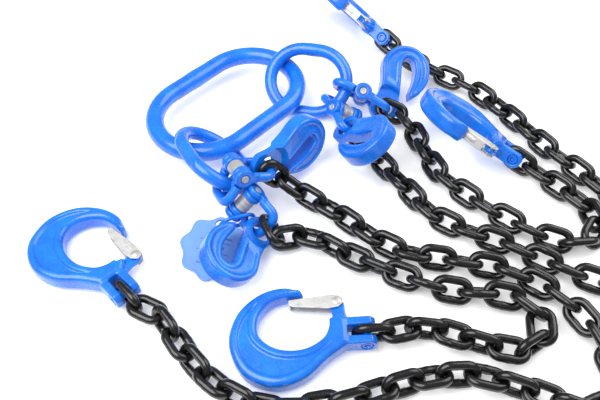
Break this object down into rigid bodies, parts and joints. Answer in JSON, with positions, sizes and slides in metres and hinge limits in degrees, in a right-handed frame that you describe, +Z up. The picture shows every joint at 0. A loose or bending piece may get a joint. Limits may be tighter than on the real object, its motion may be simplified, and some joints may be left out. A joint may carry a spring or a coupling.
{
  "type": "four leg chain sling",
  "caption": "Lifting sling: an oval master link feeds chain legs through intermediate links and pinned couplings, each with a shortening hook and a latched sling hook.",
  "frame": {"origin": "on the ground, under the middle of the laid-out sling's bounding box", "axes": "+Z up from the ground the sling lies on; +X along the long side of the layout, from the lone sling hook on the left towards the loose chain; +Y from the two flat-lying hooks towards the far hook"},
  "size_m": [0.6274, 0.594, 0.0773],
  "materials": {
    "paint": "gloss powder coat",
    "tag_paint": "matt powder coat",
    "chain_black": "semi-gloss black lacquer",
    "bare_steel": "turned",
    "zinc": "zinc plated, satin"
  },
  "bodies": {
    "master_link": {"master_link": "paint"},
    "intermediate_link_left": {"intermediate_link_left": "paint"},
    "intermediate_link_right": {"intermediate_link_right": "paint"},
    "coupling_1": {"upper_half_1": "paint", "coupling_pin_1": "bare_steel", "coupling_bush_1": "bare_steel"},
    "lower_half_1": {"lower_half_1": "paint"},
    "grab_hook_1": {"grab_hook_1": "paint"},
    "chain_top_1": {"chain_top_1": "chain_black"},
    "chain_middle_1": {"chain_middle_1": "chain_black"},
    "chain_end_1": {"chain_end_1": "chain_black"},
    "sling_hook_1": {"hook_body_1": "paint", "load_pin_1": "bare_steel", "latch_pin_1": "bare_steel"},
    "latch_1": {"latch_1": "zinc", "latch_spring_1": "bare_steel"},
    "coupling_2": {"upper_half_2": "paint", "coupling_pin_2": "bare_steel", "coupling_bush_2": "bare_steel"},
    "lower_half_2": {"lower_half_2": "paint"},
    "grab_hook_2": {"grab_hook_2": "paint"},
    "chain_top_2": {"chain_top_2": "chain_black"},
    "chain_middle_2": {"chain_middle_2": "chain_black"},
    "chain_end_2": {"chain_end_2": "chain_black"},
    "sling_hook_2": {"hook_body_2": "paint", "load_pin_2": "bare_steel", "latch_pin_2": "bare_steel"},
    "latch_2": {"latch_2": "zinc", "latch_spring_2": "bare_steel"},
    "coupling_3": {"upper_half_3": "paint", "coupling_pin_3": "bare_steel", "coupling_bush_3": "bare_steel"},
    "lower_half_3": {"lower_half_3": "paint"},
    "grab_hook_3": {"grab_hook_3": "paint"},
    "chain_top_3": {"chain_top_3": "chain_black"},
    "chain_middle_3": {"chain_middle_3": "chain_black"},
    "chain_end_3": {"chain_end_3": "chain_black"},
    "sling_hook_3": {"hook_body_3": "paint", "load_pin_3": "bare_steel", "latch_pin_3": "bare_steel"},
    "latch_3": {"latch_3": "zinc", "latch_spring_3": "bare_steel"},
    "coupling_4": {"upper_half_4": "paint", "coupling_pin_4": "bare_steel", "coupling_bush_4": "bare_steel"},
    "lower_half_4": {"lower_half_4": "paint"},
    "grab_hook_4": {"grab_hook_4": "paint"},
    "chain_top_4": {"chain_top_4": "chain_black"},
    "chain_middle_4": {"chain_middle_4": "chain_black"},
    "chain_end_4": {"chain_end_4": "chain_black"},
    "sling_hook_4": {"hook_body_4": "paint", "load_pin_4": "bare_steel", "latch_pin_4": "bare_steel"},
    "latch_4": {"latch_4": "zinc", "latch_spring_4": "bare_steel"},
    "tag_ring": {"tag_ring": "paint"},
    "tag": {"tag": "tag_paint"}
  },
  "joints": [
    {"name": "left_link_on_master", "type": "hinge", "parent": "master_link", "child": "intermediate_link_left", "pos_m": [-0.15957, -0.00755, 0.02712], "axis": [-0.9207, -0.3903, 0], "range_deg": [0, 1.5]},
    {"name": "right_link_on_master", "type": "hinge", "parent": "master_link", "child": "intermediate_link_right", "pos_m": [-0.05357, 0.10845, 0.02712], "axis": [0.1709, -0.9853, 0], "range_deg": [0, 1.5]},
    {"name": "coupling_1_on_link", "type": "hinge", "parent": "intermediate_link_right", "child": "coupling_1", "pos_m": [0.00438, 0.0931, 0.02946], "axis": [-0.7071, -0.7071, 0], "range_deg": [0, 2]},
    {"name": "lower_half_1_on_pin", "type": "hinge", "parent": "coupling_1", "child": "lower_half_1", "pos_m": [0.02293, 0.08645, 0.02502], "axis": [-0.0201, -0.5934, 0.8046], "range_deg": [0, 1]},
    {"name": "grab_hook_1_swing", "type": "hinge", "parent": "lower_half_1", "child": "grab_hook_1", "pos_m": [0.04893, 0.07865, 0.01342], "axis": [0.1631, -0.536, 0.8283], "range_deg": [0, 10]},
    {"name": "chain_top_1_lift", "type": "hinge", "parent": "lower_half_1", "child": "chain_top_1", "pos_m": [0.05041, 0.06881, 0.01842], "axis": [-0.7071, -0.7071, 0], "range_deg": [0, 1]},
    {"name": "chain_middle_1_bend", "type": "hinge", "parent": "chain_top_1", "child": "chain_middle_1", "pos_m": [0.22714, -0.04883, 0.01406], "axis": [0.7336, 0.5876, -0.3415], "range_deg": [0, 8]},
    {"name": "chain_end_1_bend", "type": "hinge", "parent": "chain_middle_1", "child": "chain_end_1", "pos_m": [0.19476, -0.01343, 0.01314], "axis": [0.6514, 0.6122, -0.4482], "range_deg": [0, 3]},
    {"name": "sling_hook_1_swing", "type": "hinge", "parent": "chain_end_1", "child": "sling_hook_1", "pos_m": [0.18343, -0.00555, 0.01712], "axis": [0.4513, 0.7464, -0.4891], "range_deg": [0, 35]},
    {"name": "latch_1_opening", "type": "hinge", "parent": "sling_hook_1", "child": "latch_1", "pos_m": [0.15094, -0.01424, 0.03728], "axis": [-0.4497, -0.2832, -0.8471], "range_deg": [0, 34]},
    {"name": "coupling_2_on_link", "type": "hinge", "parent": "intermediate_link_right", "child": "coupling_2", "pos_m": [-0.00644, 0.07881, 0.01588], "axis": [0.3011, -0.9536, 0], "range_deg": [0, 2]},
    {"name": "lower_half_2_on_pin", "type": "hinge", "parent": "coupling_2", "child": "lower_half_2", "pos_m": [0.00143, 0.06085, 0.02072], "axis": [-0.7797, -0.1799, 0.5998], "range_deg": [0, 1]},
    {"name": "grab_hook_2_swing", "type": "hinge", "parent": "lower_half_2", "child": "grab_hook_2", "pos_m": [0.00333, 0.02655, 0.02762], "axis": [-0.635, 0.177, 0.752], "range_deg": [0, 15]},
    {"name": "chain_top_2_lift", "type": "hinge", "parent": "lower_half_2", "child": "chain_top_2", "pos_m": [0.01258, 0.02956, 0.01817], "axis": [0.3011, -0.9536, 0], "range_deg": [0, 2]},
    {"name": "chain_middle_2_bend", "type": "hinge", "parent": "chain_top_2", "child": "chain_middle_2", "pos_m": [0.28142, -0.06692, 0.01402], "axis": [0.8716, 0.4903, 0], "range_deg": [0, 4]},
    {"name": "chain_end_2_bend", "type": "hinge", "parent": "chain_middle_2", "child": "chain_end_2", "pos_m": [0.17284, 0.0914, 0.01402], "axis": [0.8048, 0.5676, -0.1735], "range_deg": [0, 12]},
    {"name": "sling_hook_2_swing", "type": "hinge", "parent": "chain_end_2", "child": "sling_hook_2", "pos_m": [0.05843, 0.19945, 0.01872], "axis": [0.351, 0.644, -0.6797], "range_deg": [0, 60]},
    {"name": "latch_2_opening", "type": "hinge", "parent": "sling_hook_2", "child": "latch_2", "pos_m": [0.03095, 0.19551, 0.04641], "axis": [-0.6314, -0.3733, -0.6797], "range_deg": [0, 34]},
    {"name": "coupling_3_on_link", "type": "hinge", "parent": "intermediate_link_left", "child": "coupling_3", "pos_m": [-0.12262, -0.06648, 0.04044], "axis": [-1, 0, 0], "range_deg": [0, 2]},
    {"name": "lower_half_3_on_pin", "type": "hinge", "parent": "coupling_3", "child": "lower_half_3", "pos_m": [-0.11127, -0.05675, 0.05402], "axis": [0.4501, -0.8601, 0.24], "range_deg": [0, 1]},
    {"name": "grab_hook_3_swing", "type": "hinge", "parent": "lower_half_3", "child": "grab_hook_3", "pos_m": [-0.08507, -0.03845, 0.04142], "axis": [0.6835, -0.7011, 0.203], "range_deg": [0, 7]},
    {"name": "chain_top_3_lift", "type": "hinge", "parent": "lower_half_3", "child": "chain_top_3", "pos_m": [-0.08061, -0.04897, 0.04356], "axis": [-1, 0, 0], "range_deg": [0, 2]},
    {"name": "chain_middle_3_bend", "type": "hinge", "parent": "chain_top_3", "child": "chain_middle_3", "pos_m": [0.13813, -0.26436, 0.01402], "axis": [0.3953, 0.9186, 0], "range_deg": [0, 20]},
    {"name": "chain_end_3_bend", "type": "hinge", "parent": "chain_middle_3", "child": "chain_end_3", "pos_m": [-0.04871, -0.28225, 0.01402], "axis": [-0.177, 0.9842, 0], "range_deg": [0, 25]},
    {"name": "sling_hook_3_swing", "type": "hinge", "parent": "chain_end_3", "child": "sling_hook_3", "pos_m": [-0.21257, -0.17155, 0.01402], "axis": [0.7071, 0.7071, 0], "range_deg": [0, 60]},
    {"name": "latch_3_opening", "type": "hinge", "parent": "sling_hook_3", "child": "latch_3", "pos_m": [-0.20761, -0.13267, 0.01327], "axis": [-0.0222, 0.0222, 0.9995], "range_deg": [0, 34]},
    {"name": "coupling_4_on_link", "type": "hinge", "parent": "intermediate_link_left", "child": "coupling_4", "pos_m": [-0.11239, -0.05983, 0.02989], "axis": [-1, 0, 0], "range_deg": [0, 1.2]},
    {"name": "lower_half_4_on_pin", "type": "hinge", "parent": "coupling_4", "child": "lower_half_4", "pos_m": [-0.10457, -0.07845, 0.02962], "axis": [-0.6934, -0.2814, -0.6633], "range_deg": [0, 1]},
    {"name": "grab_hook_4_swing", "type": "hinge", "parent": "lower_half_4", "child": "grab_hook_4", "pos_m": [-0.08947, -0.10495, 0.01312], "axis": [-0.5528, -0.0468, -0.832], "range_deg": [0, 2]},
    {"name": "chain_top_4_lift", "type": "hinge", "parent": "lower_half_4", "child": "chain_top_4", "pos_m": [-0.07993, -0.09831, 0.01922], "axis": [-1, 0, 0], "range_deg": [0, 2]},
    {"name": "chain_middle_4_bend", "type": "hinge", "parent": "chain_top_4", "child": "chain_middle_4", "pos_m": [0.1153, -0.22538, 0.01402], "axis": [0.1987, 0.9801, 0], "range_deg": [0, 20]},
    {"name": "chain_end_4_bend", "type": "hinge", "parent": "chain_middle_4", "child": "chain_end_4", "pos_m": [0.07031, -0.20922, 0.01401], "axis": [0.3259, 0.9454, 0.0001], "range_deg": [0, 5]},
    {"name": "sling_hook_4_swing", "type": "hinge", "parent": "chain_end_4", "child": "sling_hook_4", "pos_m": [0.00893, -0.21355, 0.01402], "axis": [-0.0349, 0.9994, 0], "range_deg": [0, 60]},
    {"name": "latch_4_opening", "type": "hinge", "parent": "sling_hook_4", "child": "latch_4", "pos_m": [-0.01613, -0.18341, 0.01327], "axis": [-0.0314, -0.0011, 0.9995], "range_deg": [0, 34]},
    {"name": "tag_ring_swing", "type": "hinge", "parent": "lower_half_4", "child": "tag_ring", "pos_m": [-0.10271, -0.08848, 0.01539], "axis": [-0.3385, 0.9137, 0.225], "range_deg": [0, 1.2]},
    {"name": "tag_swing", "type": "hinge", "parent": "tag_ring", "child": "tag", "pos_m": [-0.12836, -0.09886, 0.01896], "axis": [-0.3385, 0.9137, 0.225], "range_deg": [0, 10]}
  ]
}
